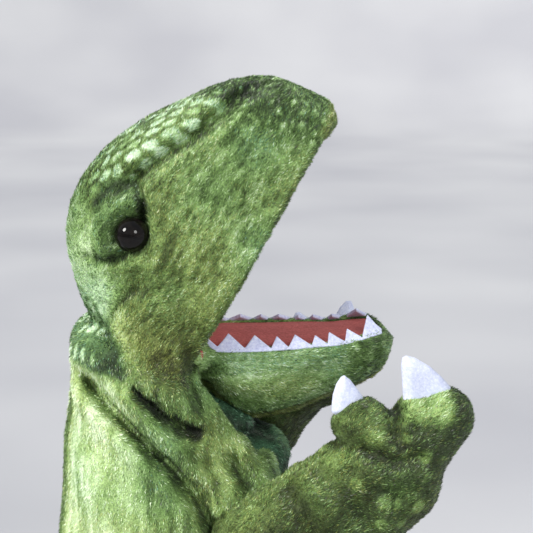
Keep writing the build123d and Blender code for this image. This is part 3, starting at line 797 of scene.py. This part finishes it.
def felt_material(name, colour, dark, bump=0.35):
    fuzz = tuple(min(1, c * 1.6 + 0.1) for c in colour)
    material, tree, shader = new_material(name, colour, 0.9, 0.2, 0.35, fuzz)
    link = tree.links.new
    place = node(tree, "ShaderNodeTexCoord")
    fine = node(tree, "ShaderNodeTexNoise", {"Scale": 900.0, "Detail": 4.0, "Roughness": 0.7})
    broad = node(tree, "ShaderNodeTexNoise", {"Scale": 90.0, "Detail": 2.0})
    for texture in (fine, broad):
        link(place.outputs["Object"], texture.inputs["Vector"])
    pale = tuple(min(1, c * 1.25 + 0.02) for c in colour)
    shade = colour_ramp(tree, [(0.32, tuple(dark)), (0.55, tuple(colour)), (0.75, pale)])
    link(fine.outputs["Fac"], shade.inputs["Fac"])
    worn = colour_ramp(tree, [(0.35, (0.86, 0.86, 0.86)), (0.65, (1, 1, 1))])
    link(broad.outputs["Fac"], worn.inputs["Fac"])
    mix = node(tree, "ShaderNodeMix", data_type="RGBA", blend_type="MULTIPLY")
    mix.inputs[0].default_value = 1.0
    link(shade.outputs["Color"], mix.inputs[6])
    link(worn.outputs["Color"], mix.inputs[7])
    link(mix.outputs[2], shader.inputs["Base Color"])
    relief = node(tree, "ShaderNodeBump", {"Strength": bump, "Distance": 0.0008})
    link(fine.outputs["Fac"], relief.inputs["Height"])
    link(relief.outputs["Normal"], shader.inputs["Normal"])
    return material


PLUSH = cloth_material("plush_cloth")
RED = felt_material("red_felt", srgb(0.74, 0.40, 0.38), srgb(0.60, 0.29, 0.27))
WHITE = felt_material("white_felt", srgb(0.86, 0.88, 0.98), srgb(0.74, 0.76, 0.90), bump=0.2)
CLAW = felt_material("claw_felt", srgb(0.84, 0.86, 0.95), srgb(0.76, 0.79, 0.90), bump=0.2)
LINING = felt_material("lining_cloth", srgb(0.30, 0.35, 0.26), srgb(0.18, 0.22, 0.15), bump=0.4)

# Strand palette: constant colours, because a strand is far narrower than any texture on it.
STRAND_HUES = [(0.0, "green"), (1.0, "olive"), (-1.0, "bluish")]
STRAND_TONES = [0.10, 0.24, 0.38, 0.50, 0.62, 0.76, 0.92]
STRAND = ((1.7, 0.42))  # length and width
MOST_STRANDS = 190000  # in one piece
strand_materials = []
for hue, label in STRAND_HUES:
    for index, tone in enumerate(STRAND_TONES):
        colour = coat_colour(np.array([tone]), np.array([hue]))[0]
        made, _, _ = new_material(f"strand_{label}_{index}", colour, 0.42, 0.5, 0.15, (0.9, 1.0, 0.8))
        strand_materials.append(made)


def read(collection, key, width, kind=np.float32):
    out = np.zeros(len(collection) * width, kind)
    collection.foreach_get(key, out)
    return out.reshape(-1, width)


def openness(field, p, n):
    """1 on an open surface, towards 0 deep in a crease."""
    out = np.zeros(len(p))
    for reach, share in ((2.0, 0.35), (4.5, 0.4), (9.0, 0.25)):
        out += share * np.clip(in_chunks(field, p + reach * n) / reach, 0, 1)
    return out


def mark_rest(obj, coat, field):
    """Keeps each vertex's rest place, painted crease shade and colour (print with painted light and shade)
    with the mesh.
    """
    mesh = obj.data
    co = read(mesh.vertices, "co", 3)
    attribute = mesh.attributes.new("rest_place", "FLOAT_VECTOR", "POINT")
    attribute.data.foreach_set("vector", co.ravel())
    p = co.astype(float) / MM
    n = read(mesh.vertices, "normal", 3).astype(float)
    # Painted shade: darker deeper in creases and recesses; kept as the crease attribute and taken off the
    # tone.
    shade = PAINTED_CREASE_SHADE * (1 - openness(field, p, n))
    attribute = mesh.attributes.new("crease", "FLOAT", "POINT")
    attribute.data.foreach_set("value", shade.astype(np.float32))
    tone, hue = coat(p)
    colours = np.ones((len(p), 4), np.float32)
    colours[:, :3] = coat_colour(tone - shade, hue)
    layer = mesh.color_attributes.new("coat", "FLOAT_COLOR", "POINT")
    layer.data.foreach_set("color", colours.ravel())
    return obj


# Pile: one small blade for each strand
def streaked(p, flow):
    """Coordinates that run slowly along the nap, for marks that follow it."""
    along = flow(p)
    along /= np.maximum(np.linalg.norm(along, axis=1), 1e-9)[:, None]
    run = (p * along).sum(1)[:, None] * along
    return (p - run) / 1.25 + run / 5.0


def pile(name, obj, coat, flow, density, seed, keep=None):
    """Strands rooted on obj, leaning along flow, each with the colour at its root: the print with its painted
    light and shade.
    """
    length, width = STRAND
    rng = np.random.default_rng(seed)
    mesh = obj.data
    mesh.calc_loop_triangles()
    tris = read(mesh.loop_triangles, "vertices", 3, np.int32)
    co = read(mesh.vertices, "co", 3).astype(float) / MM
    normals = read(mesh.vertices, "normal", 3).astype(float)
    # The painted crease shade that mark_rest keeps in the crease attribute.
    painted_crease_shades = read(mesh.attributes["crease"].data, "value", 1)[:, 0]
    a, b, c = co[tris[:, 0]], co[tris[:, 1]], co[tris[:, 2]]
    area = 0.5 * np.linalg.norm(np.cross(b - a, c - a), axis=1)
    if keep is not None:
        area = area * keep((a + b + c) / 3)
    total = min(int(area.sum() * density), MOST_STRANDS)
    pick = np.searchsorted(np.cumsum(area) / area.sum(), rng.random(total))
    pick = np.minimum(pick, len(area) - 1)
    r1, r2 = np.sqrt(rng.random(total)), rng.random(total)
    w = np.stack([1 - r1, r1 * (1 - r2), r1 * r2], 1)
    t = tris[pick]
    root = (co[t] * w[:, :, None]).sum(1)
    n = (normals[t] * w[:, :, None]).sum(1)
    # Painted crease shade at each strand's root.
    crease = (painted_crease_shades[t] * w).sum(1)
    n /= np.maximum(np.linalg.norm(n, axis=1), 1e-9)[:, None]
    along = flow(root)
    swirl = np.stack([noise(root, 9.0, seed + k) for k in (1, 2, 3)], 1) - 0.5
    clump = np.stack([noise(root, 2.4, seed + k) for k in (4, 5, 6)], 1) - 0.5
    along = along + 0.8 * swirl + 0.7 * clump + 0.14 * rng.normal(size=(total, 3))
    along -= n * (along * n).sum(1)[:, None]
    along /= np.maximum(np.linalg.norm(along, axis=1), 1e-9)[:, None]
    rise = np.clip(0.40 + 1.0 * (noise(root, 2.2, seed + 7) - 0.5) + 0.12 * rng.normal(size=total), 0.06, 1.0)
    direction = along + n * rise[:, None]
    direction /= np.linalg.norm(direction, axis=1)[:, None]
    across = np.cross(direction, n)
    across /= np.maximum(np.linalg.norm(across, axis=1), 1e-9)[:, None]
    up = np.cross(across, direction)
    roll = 0.5 * rng.normal(size=total)
    across = across * np.cos(roll)[:, None] + up * np.sin(roll)[:, None]
    size = length * (0.7 + 0.6 * rng.random(total))
    tip = root + direction * size[:, None]
    half = 0.5 * width * (0.7 + 0.6 * rng.random(total))
    low = root - n * 0.25
    verts = np.stack([low - across * half[:, None], low + across * half[:, None], tip], 1).reshape(-1, 3)
    verts[:, 2] = np.maximum(verts[:, 2], 0.15)  # pressed flat on the floor
    faces = np.arange(3 * total).reshape(-1, 3)
    made = make_mesh(name, verts, faces)
    tone, hue = coat(root)
    streak = noise(streaked(root, flow), 1.0, seed + 8) - 0.5
    # Each strand is darkened by the painted crease shade, with random streaks along the nap.
    tone = tone - crease + 0.46 * streak + 0.13 * rng.normal(size=total) + 0.03
    pick_tone = np.abs(tone[:, None] - np.array(STRAND_TONES)[None]).argmin(1)
    chance = rng.random(total)
    which = np.where(chance < np.abs(hue), np.where(hue > 0, 1, 2), 0)
    slot = which * len(STRAND_TONES) + pick_tone
    for material in strand_materials:
        made.data.materials.append(material)
    if len(made.data.polygons) == total:
        made.data.polygons.foreach_set("material_index", slot.astype(np.int32))
    made.data.update()
    return made


# Plush pieces
GRID = 1.6
SHORT = 1.0  # share of the pile made while trying things
HEAD_ALONG = np.array([COS_G, 0.0, SIN_G])


def flow_body(p):
    u, v = head_axes(p)
    head = (ramp(u, -22, -8) * ramp(v, -4, 4))[:, None]
    return head * HEAD_ALONG + (1 - head) * np.array([0.05, 0.0, -1.0])


def flow_along(x, y, z):
    line = np.array([x, y, z], float)
    line /= np.linalg.norm(line)
    return lambda p: np.repeat(line[None], len(p), 0)


def plush(name, field, box, coat, flow, parts, place, nodes=(), step=None):
    """A skin from a field with its pile on it. Each of parts is (suffix, density, seed, keep)."""
    verts, quads = net(field, box[0], box[1], step or GRID)
    skin = make_mesh(name, verts, quads)
    mark_rest(skin, coat, field)
    skin.data.materials.append(PLUSH)
    made = [skin]
    for suffix, density, seed, keep in parts:
        made.append(pile(f"{name}_{suffix}", skin, coat, flow, density * SHORT, seed, keep))
    if nodes:
        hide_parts(*nodes)
    for piece in made:
        place(piece)
    return made


def is_head(c):
    u, v = head_axes(c)
    return ((u > -16) & (v > -3)).astype(float)


def blend_neck(piece):
    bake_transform(piece)


def blend_throat(piece):
    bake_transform(piece)


def rider(body):
    return lambda piece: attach(piece, body)


plush("plush_body", body_field, ((-8, -58, 28), (140, 58, 342)), body_coat, flow_body,
      [("head_pile", 5.5, 101, is_head),
       ("torso_pile", 3.6, 102, lambda c: 1 - is_head(c))],
      blend_neck,
      ("body_shell", "body_stuffing", "back_strip", "throat_patch", "head_shell", "head_stuffing",
       "eyelid_left", "eyelid_right", "brow_left", "brow_right", "finger_pocket", "upper_mouth_board",
       "eye_washers"))
plush("plush_jaw", jaw_field, ((52, -36, 170), (162, 36, 224)), jaw_coat, flow_along(1, 0, 0.1),
      [("pile", 3.6, 103, None)], rider("lower_jaw"),
      ("jaw_shell", "jaw_stuffing", "thumb_pocket", "lower_mouth_board"), step=1.3)
plush("throat_gusset", throat_field, ((46, -40, 140), (116, 40, 204)), throat_coat, flow_along(0.3, 0, -1),
      [("pile", 2.2, 104, None)], blend_throat)
for side, label in SIDES:
    low, high = sorted((side * 24, side * 82))
    plush(f"plush_arm_{label}", partial(arm_field, side=side), ((58, low, 92), (188, high, 210)), arm_coat,
          flow_along(0.8, 0, 0.6), [("pile", 3.4, 105 + side, None)], rider(f"arm_{label}"),
          (f"arm_{label}", f"arm_{label}_stuffing"), step=1.4)
    low, high = sorted((side * 8, side * 76))
    plush(f"plush_leg_{label}", partial(leg_field, side=side), ((10, low, -3), (122, high, 120)), leg_coat,
          flow_along(0.2, 0, -1), [("pile", 2.6, 108 + side, None)], rider("torso"),
          (f"leg_{label}", f"leg_{label}_stuffing"))
plush("plush_tail", tail_field, ((-188, -34, -3), (20, 34, 98)), tail_coat, flow_along(-160, 0, -56),
      [("pile", 2.8, 112, None)], rider("tail"), ("tail_shell", "tail_stuffing", "tail_strip"))


def lip_field(p):
    u, v = head_axes(p)
    q = np.stack([u, p[:, 1], v], 1)
    d = smooth_min(capsule(q, (113, -12, 0.2), (118.2, 0, -1.4), 4.0, 4.6),
                   capsule(q, (118.2, 0, -1.4), (113, 12, 0.2), 4.6, 4.0), 2.0)
    return d + 0.5 * np.sin(0.9 * p[:, 1])


def lip_coat(p):
    cloud = mixed_noise(p, 53)
    return 0.44 + 0.25 * (cloud - 0.5), np.full(len(p), 0.5)


tip = from_head(117, -3, 0)
plush("plush_lip", lip_field, ((tip[0] - 10, -20, tip[2] - 12), (tip[0] + 12, 20, tip[2] + 10)), lip_coat,
      flow_along(COS_G, 0, SIN_G), [("pile", 3.4, 115, None)], rider("head"), ("upper_lip",),
      step=1.0)


# Felt pieces: mouth plates, teeth and claws
def felt_piece(name, field, box, step, material, place, nodes=()):
    verts, quads = net(field, box[0], box[1], step)
    piece = make_mesh(name, verts, quads)
    piece.data.materials.append(material)
    place(piece)
    if nodes:
        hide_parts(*nodes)
    return piece


def palate_field(p):
    u, v = head_axes(p)
    xs, (wide, _) = HEAD
    w = np.interp(u, xs, wide)
    rim = np.maximum(np.abs(p[:, 1]) - (w - 4.4), np.maximum(1.0 - u, u - 113.5))
    swell = 1.1 * (1 - ramp(rim, -14, -2)) + 0.35 * np.sin(u / 9.0)
    return smooth_max(smooth_max(4.6 - swell - v, v - 9.0, 0.8), rim, 2.2)


def tongue_field(p):
    x, z = from_pivot(p)
    xs, (wide, _) = JAW
    w = np.interp(x, xs, wide)
    lift = 3.4 * ramp(x, 66, 92)
    rim = np.maximum(np.abs(p[:, 1]) - (w - 3.6), np.maximum(1.0 - x, x - 88.5))
    swell = 1.0 * (1 - ramp(rim, -14, -2)) + 0.3 * np.sin(x / 8.0)
    return smooth_max(smooth_max(z - 0.2 - swell - lift, -2.8 + lift - z, 0.8), rim, 2.0)


FELT_STEP = 0.9
felt_piece("felt_palate", palate_field, ((-14, -42, 208), (122, 42, 324)), FELT_STEP + 0.3, RED,
           rider("head"), ("palate_felt",))
felt_piece("felt_tongue", tongue_field, ((58, -36, 208), (152, 36, 224)), FELT_STEP, RED, rider("lower_jaw"),
           ("tongue_felt",))

TEETH_LEAN = {-1: math.radians(38), 1: math.radians(58)}
# A row of teeth from the side: along the jaw and up from its lip.
TEETH_OUTLINE = [
    (0.5, 2.2), (5.4, 7.0), (10.9, 2.4), (16.2, 7.9), (22.9, 1.8), (27.8, 7.0), (34.7, 1.4), (37.8, 6.2),
    (42.8, 1.4), (46.3, 6.3), (53.6, 1.4), (55.7, 5.4), (61.2, 1.4), (62.4, 6.2), (69.6, 1.6), (71.2, 6.6),
    (77.9, 1.6), (81.8, 10.0), (85.5, 5.0), (89.0, 1.6), (89.2, 0.2), (0.5, 0.2),
]


def teeth_field(p, side):
    """Felt teeth that lean in over the tongue."""
    x, z = from_pivot(p)
    xs, (wide, _) = JAW
    lean = TEETH_LEAN[side]
    inward = np.interp(x, xs, wide) - 1.2 - side * p[:, 1]
    up = z - 0.4 - 3.0 * ramp(x, 66, 92)
    along = inward * math.sin(lean) + up * math.cos(lean)
    out = inward * math.cos(lean) - up * math.sin(lean)
    outline = polygon_distance(x, along * 0.82 + 0.9, TEETH_OUTLINE)
    return smooth_max(outline, np.abs(out) - 0.95, 0.7)


for side, label in SIDES:
    low, high = sorted((side * 6, side * 33))
    felt_piece(f"felt_teeth_{label}", partial(teeth_field, side=side),
               ((58, low, 212), (148, high, 231)), 0.42, WHITE, rider("lower_jaw"),
               (f"teeth_{label}",))

# Side view of each hand claw, in millimetres in the row frame.
CLAWS = {
    -1: ([(117.8, 192.5), (117.9, 196), (118.3, 200.4), (119.8, 205.2), (121.9, 208.3), (123.3, 209.0),
          (126.1, 206.8), (130.2, 201.2), (133.4, 196.1), (134.6, 193), (132, 188.5), (122, 189)],
         [(149.6, 194), (149.3, 199), (148.8, 206), (148.2, 212.6), (148.7, 216.2), (150.4, 217.2),
          (154.5, 216), (161.3, 211.8), (166.4, 207.1), (170.8, 202), (168, 194)]),
    1: ([(118.2, 196), (117.8, 203), (118.2, 209.4), (119.6, 212.4), (121.6, 212.8), (125.6, 209.8),
         (129.8, 204.4), (132.6, 199), (132, 194)],
        [(137.2, 196), (137.8, 202), (139.6, 208.4), (142.6, 214.0), (145.8, 217.2), (148.4, 217.2),
         (150.4, 212), (151.4, 206), (153, 201), (155.4, 195)]),
}


def claw_field(p, outline, y, thick):
    flat = polygon_distance(p[:, 0], p[:, 2], outline)
    slab = np.abs(p[:, 1] - y) - thick * (0.55 + 0.45 * ramp(-flat, 0, 4.0))
    return smooth_max(flat, slab, 1.6)


for side, label in SIDES:
    def claws(p, side=side):
        q = p * np.array([1.0, side, 1.0])
        small, large = CLAWS[side]
        return np.minimum(claw_field(q, small, 53.0, 2.9), claw_field(q, large, 54.5, 3.1))
    low, high = sorted((side * 48, side * 60))
    felt_piece(f"felt_claws_{label}", claws, ((110, low, 180), (178, high, 226)), 0.7, CLAW,
               rider(f"arm_{label}"), (f"hand_claws_{label}",))

    def toes(p, side=side):
        d = np.full(len(p), 1e9)
        for spread, reach in ((-9, 0), (0, 6), (9, 0)):
            y = side * 50 + spread
            q = p * np.array([1, 1, 1.25]) - np.array([0, 0, 1.4])
            tip = (118 + reach, y + spread * 0.3, 4.4)
            d = np.minimum(d, capsule(q, (98 + reach, y, 7.5), tip, 5.0, 1.4))
        return smooth_max(d, 0.3 - p[:, 2], 0.6)
    low, high = sorted((side * 33, side * 67))
    felt_piece(f"felt_toe_claws_{label}", toes, ((92, low, -1), (128, high, 15)), 0.8, CLAW,
               rider("torso"), (f"foot_claws_{label}",))


# Eyes, mouth corner, glove and its binding
def paint(name, material):
    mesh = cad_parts[name].data
    mesh.materials.clear()
    mesh.materials.append(material)


EYE, tree, shader = new_material("eye_gloss", srgb(0.04, 0.03, 0.03), 0.06, 0.2)
speck = node(tree, "ShaderNodeTexNoise", {"Scale": 260.0, "Detail": 3.0})
place = node(tree, "ShaderNodeTexCoord")
tree.links.new(place.outputs["Object"], speck.inputs["Vector"])
gloom = colour_ramp(tree, [(0.35, tuple(srgb(0.035, 0.03, 0.03))), (0.7, tuple(srgb(0.09, 0.075, 0.065)))])
tree.links.new(speck.outputs["Fac"], gloom.inputs["Fac"])
tree.links.new(gloom.outputs["Color"], shader.inputs["Base Color"])


def ball_mesh(name, centre, radius, rings=48):
    """Smooth ball with a shallow lathe line, as a moulded eye has."""
    verts, faces = [], []
    for i in range(rings + 1):
        a = math.pi * i / rings
        for j in range(2 * rings):
            b = math.pi * j / rings
            r = radius * (1 - 0.012 * math.exp(-((a - 1.25) / 0.03) ** 2))
            verts.append((centre[0] + r * math.sin(a) * math.cos(b), centre[1] - r * math.cos(a),
                          centre[2] + r * math.sin(a) * math.sin(b)))
    around = 2 * rings
    for i in range(rings):
        for j in range(around):
            k = (j + 1) % around
            faces.append((i * around + j, i * around + k, (i + 1) * around + k, (i + 1) * around + j))
    return make_mesh(name, verts, faces)


for side, label in SIDES:
    eye = ball_mesh(f"glossy_eye_{label}", from_head(EYE_U, EYE_V, side * 31.5), 7.6)
    eye.data.materials.append(EYE)
    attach(eye, "head")
    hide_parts(f"eye_{label}")

paint("mouth_fold", RED)
paint("hand_lining", LINING)


def binding_field(p):
    x, y = p[:, 0] - 52.5, p[:, 1]
    q = np.sqrt((x / 33.0) ** 2 + (y / 34.8) ** 2)
    around = np.arctan2(y, x)
    across = (q - 1) * 33.9
    ripple = 0.22 * np.sin(64 * around)
    return smooth_max(np.abs(across) - 3.9 - ripple, np.abs(p[:, 2] - 34.2) - 2.2 - 0.5 * ripple, 1.8)


felt_piece("binding_tape", binding_field, ((12, -42, 29), (94, 42, 40)), FELT_STEP, LINING, rider("torso"),
           ("opening_binding",))

# Thread stitches round the binding.
THREAD = felt_material("thread", srgb(0.62, 0.66, 0.52), srgb(0.46, 0.50, 0.38))
verts, faces = [], []
for index in range(72):
    a, b = 2 * math.pi * (index + 0.18) / 72, 2 * math.pi * (index + 0.82) / 72
    ends = [np.array([52.5 + 33 * math.cos(t), 34.8 * math.sin(t), 31.9]) for t in (a, b)]
    along = ends[1] - ends[0]
    across = np.cross(along, (0, 0, 1.0))
    across /= np.linalg.norm(across)
    start = len(verts)
    for s in range(5):
        middle = ends[0] + along * s / 4
        size = (0.16, 0.3, 0.34, 0.3, 0.16)[s]
        sink = (0.35, 0.05, 0, 0.05, 0.35)[s]
        for k in range(6):
            t = math.pi * k / 3
            verts.append(middle + across * size * math.cos(t) + np.array([0, 0, size * math.sin(t) + sink]))
    for s in range(4):
        for k in range(6):
            m = (k + 1) % 6
            faces.append((start + s * 6 + k, start + s * 6 + m, start + s * 6 + 6 + m, start + s * 6 + 6 + k))
stitches = make_mesh("binding_stitches", np.array(verts), faces)
stitches.data.materials.append(THREAD)
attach(stitches, "torso")


# Floor, light and camera
def studio_bowl(flat=2.6, bend=0.9, wall=0.1, around=96):
    """Floor that curves up into a wall on all sides."""
    rings = [(0.6, 0), (1.5, 0), (flat, 0)]
    turns = np.linspace(0.08, math.pi / 2, 16)
    rings += [(flat + bend * math.sin(a), bend * (1 - math.cos(a))) for a in turns]
    rings.append((flat + bend, bend + wall))
    verts = [(0, 0, 0)]
    for r, z in rings:
        verts += [(r * math.cos(2 * math.pi * k / around), r * math.sin(2 * math.pi * k / around), z)
                  for k in range(around)]
    faces = [(0, 1 + k, 1 + (k + 1) % around) for k in range(around)]
    for i in range(len(rings) - 1):
        a, b = 1 + i * around, 1 + (i + 1) * around
        faces += [(a + k, b + k, b + (k + 1) % around, a + (k + 1) % around) for k in range(around)]
    mesh = bpy.data.meshes.new("studio_floor")
    mesh.from_pydata(verts, [], faces)
    mesh.polygons.foreach_set("use_smooth", np.ones(len(mesh.polygons), bool))
    return mesh


floor_mesh = studio_bowl()
floor = bpy.data.objects.new("studio_floor", floor_mesh)
bpy.context.scene.collection.objects.link(floor)
FLOOR, tree, shader = new_material("pale_floor", srgb(0.78, 0.78, 0.79), 0.85, 0.2)
place = node(tree, "ShaderNodeTexCoord")
cloudy = node(tree, "ShaderNodeTexNoise", {"Scale": 3.0, "Detail": 2.0, "Roughness": 0.4})
tree.links.new(place.outputs["Object"], cloudy.inputs["Vector"])
tint = colour_ramp(tree, [(0.3, tuple(srgb(0.68, 0.68, 0.70))), (0.7, tuple(srgb(0.75, 0.75, 0.76)))])
tree.links.new(cloudy.outputs["Fac"], tint.inputs["Fac"])
tree.links.new(tint.outputs["Color"], shader.inputs["Base Color"])
floor_mesh.materials.append(FLOOR)

world = bpy.data.worlds.new("studio")
bpy.context.scene.world = world
bpy.context.scene.view_settings.view_transform = "Standard"
world.use_nodes = True
world.node_tree.nodes["Background"].inputs["Color"].default_value = (0.86, 0.92, 1.0, 1)
world.node_tree.nodes["Background"].inputs["Strength"].default_value = 0.55


def aim(obj, target):
    direction = Vector(target) - obj.location
    obj.rotation_euler = direction.to_track_quat("-Z", "Y").to_euler()


def area_light(name, place, target, size, power, colour):
    data = bpy.data.lights.new(name, "AREA")
    data.shape = "DISK"
    data.size = size
    data.energy = power
    data.color = colour
    obj = bpy.data.objects.new(name, data)
    bpy.context.scene.collection.objects.link(obj)
    obj.location = place
    aim(obj, target)
    return obj


sun = bpy.data.lights.new("window_light", "SUN")
sun.energy = 4.2
sun.angle = math.radians(20)
sun.color = (1.0, 0.985, 0.95)
sun_object = bpy.data.objects.new("window_light", sun)
bpy.context.scene.collection.objects.link(sun_object)
sun_object.location = (-1.05, -0.42, 1.05)
aim(sun_object, (0.06, 0, 0.2))
area_light("soft_key", (0.35, -0.85, 0.75), (0.06, 0, 0.2), 0.35, 5.0, (1.0, 0.99, 0.97))

TARGET = Vector((0.0955, -0.010, 0.2495))
AZIMUTH, ELEVATION, DISTANCE, LENS = math.radians(-8.5), math.radians(11.5), 0.70, 104.0
camera_data = bpy.data.cameras.new("camera")
camera_data.lens = LENS
camera_data.sensor_width = 36.0
camera_data.clip_start = 0.05
camera = bpy.data.objects.new("camera", camera_data)
bpy.context.scene.collection.objects.link(camera)
camera.location = TARGET + DISTANCE * Vector((math.sin(AZIMUTH) * math.cos(ELEVATION),
                                              -math.cos(AZIMUTH) * math.cos(ELEVATION), math.sin(ELEVATION)))
aim(camera, TARGET)
bpy.context.scene.camera = camera
